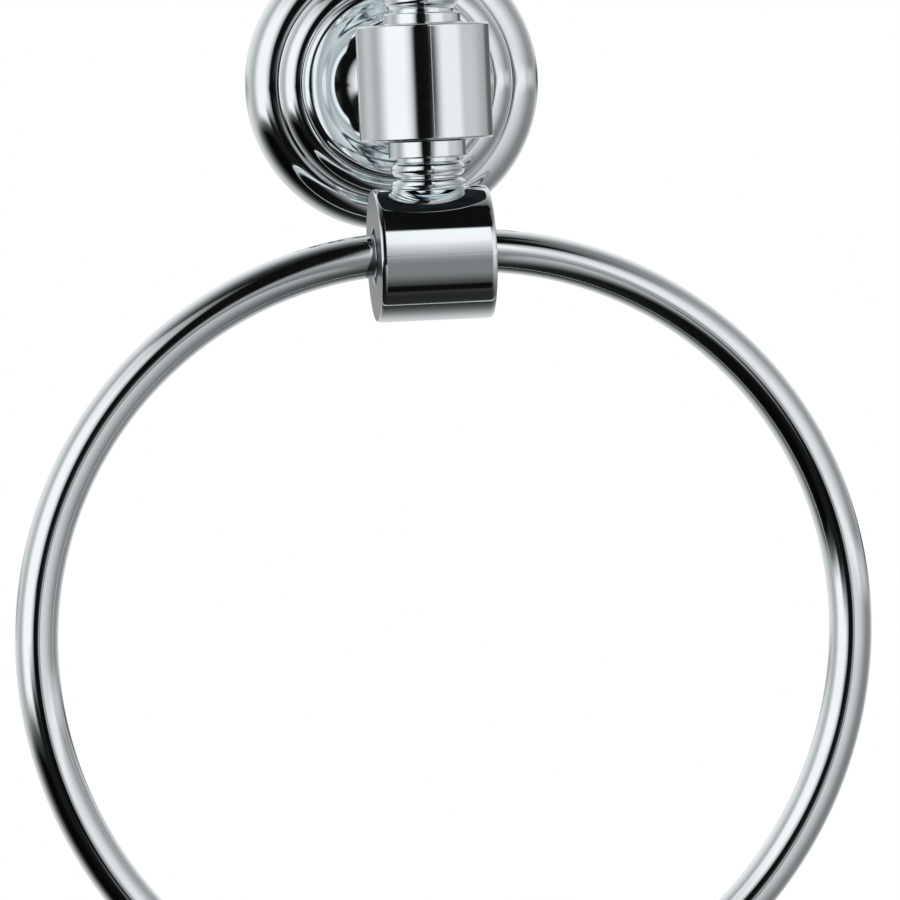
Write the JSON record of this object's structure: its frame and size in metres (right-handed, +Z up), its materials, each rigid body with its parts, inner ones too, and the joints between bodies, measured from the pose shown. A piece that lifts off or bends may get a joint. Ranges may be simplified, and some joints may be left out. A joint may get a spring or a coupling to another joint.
{
  "type": "towel ring",
  "caption": "Chrome towel ring: a round rod ring swings in a short cylindrical holder that hangs from a drum on a post with a stepped round wall rosette.",
  "frame": {"origin": "middle of the rosette and of the two screw holes, on the wall", "axes": "+Y into the wall, -Y towards the user, +Z up, X along the ring's pins"},
  "size_m": [0.2, 0.0804, 0.2631],
  "materials": {
    "chrome_plate": "polished chrome on brass",
    "zinc_plate": "dull zinc plate",
    "fastener_steel": "plain bright steel",
    "nylon": "black nylon"
  },
  "bodies": {
    "fitting": {"wall_bracket": "zinc_plate", "rosette": "chrome_plate", "rosette_grub_screw": "fastener_steel", "stem": "chrome_plate", "stem_washer": "fastener_steel", "stem_nut": "fastener_steel", "drum": "chrome_plate", "finial": "chrome_plate", "tie_stud": "fastener_steel", "ring_holder": "chrome_plate", "left_bush": "nylon", "right_bush": "nylon"},
    "ring": {"towel_ring": "chrome_plate"}
  },
  "joints": [
    {"name": "ring_swing", "type": "hinge", "parent": "fitting", "child": "ring", "pos_m": [0, -0.065, -0.0395], "axis": [-1, 0, 0], "range_deg": [-19, 199]}
  ]
}
